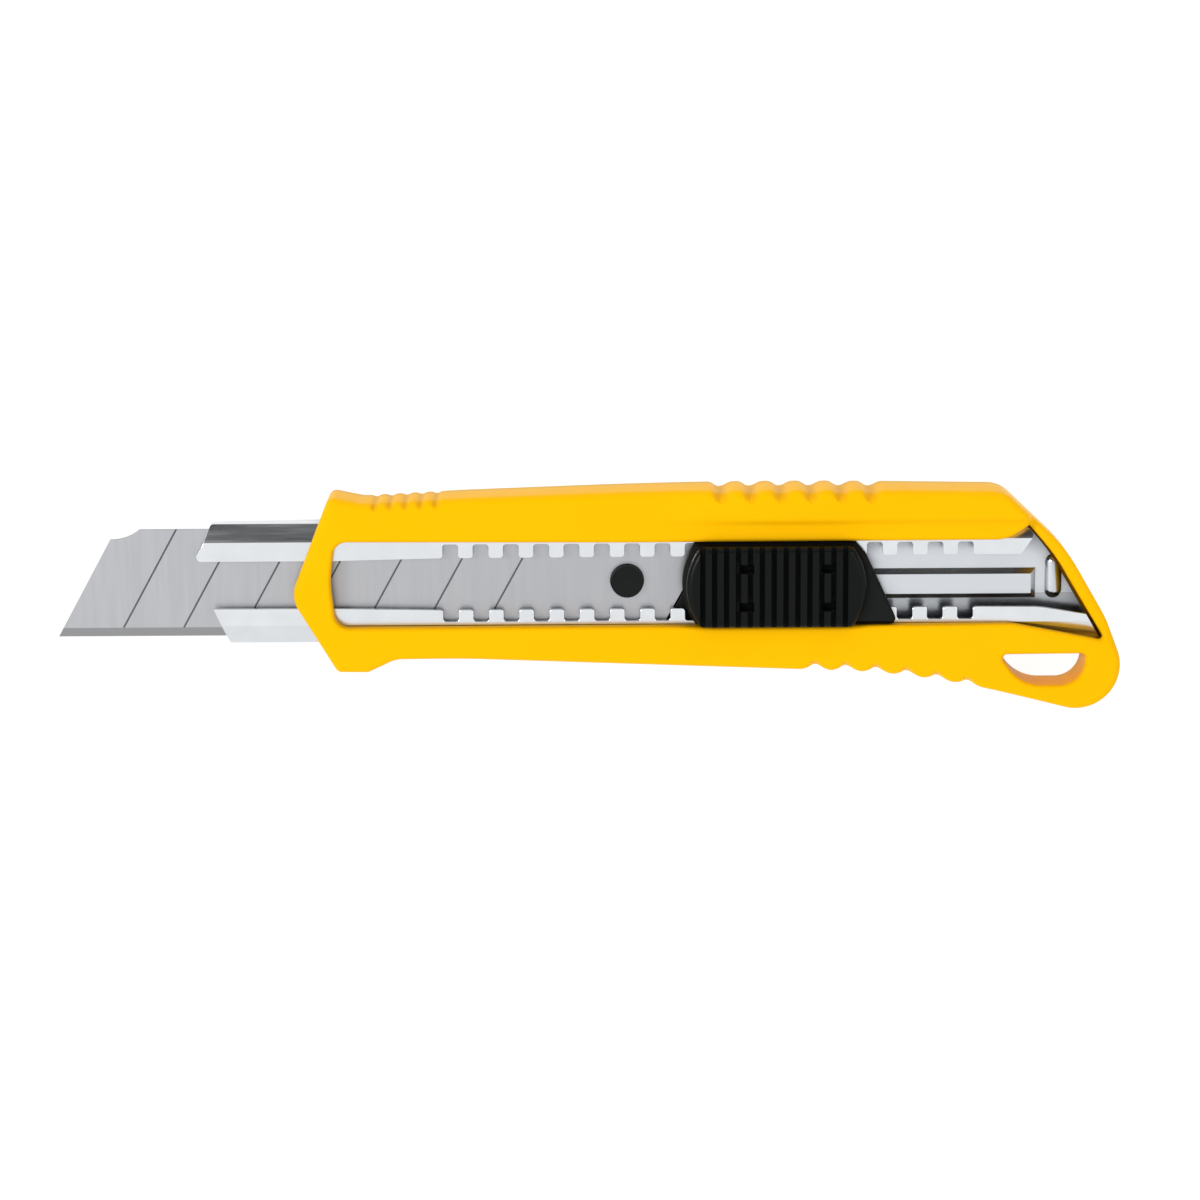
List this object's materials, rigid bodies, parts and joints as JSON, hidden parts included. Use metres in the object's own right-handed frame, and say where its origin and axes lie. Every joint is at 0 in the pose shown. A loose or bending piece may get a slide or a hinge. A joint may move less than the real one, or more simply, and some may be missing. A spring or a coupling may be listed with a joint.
{
  "type": "snap-off utility knife",
  "caption": "Flat utility knife with a snap-off blade in a steel channel, a one-piece moulded handle, a ribbed locking thumb slider and a lanyard hole.",
  "frame": {"origin": "on the handle's flat back face, under the blade's centreline and halfway along the handle", "axes": "+X towards the handle's tail (the blade leaves towards -X), +Y towards the spine edge, +Z out of the slider side"},
  "size_m": [0.176, 0.0375, 0.0124],
  "materials": {
    "handle_yellow": "satin gloss",
    "channel_steel": "plated sheet",
    "blade_steel": "ground",
    "black_plastic": "satin",
    "pad_plastic": "fine texture",
    "spring_steel": "rolled"
  },
  "bodies": {
    "handle": {"handle_body": "handle_yellow", "blade_channel": "channel_steel"},
    "slider": {"snap_off_blade": "blade_steel", "blade_holder": "black_plastic", "slider_carriage": "black_plastic", "lock_spring": "spring_steel"},
    "pad": {"thumb_pad": "pad_plastic"}
  },
  "joints": [
    {"name": "blade_slide", "type": "slide", "parent": "handle", "child": "slider", "axis": [-1, 0, 0], "range_m": [-0.03, 0.055]},
    {"name": "pad_shift", "type": "slide", "parent": "slider", "child": "pad", "axis": [-1, 0, 0], "range_m": [-0.0008, 0.0008], "stiffness_N_per_m": 2500, "deforming": ["lock_spring"]}
  ]
}
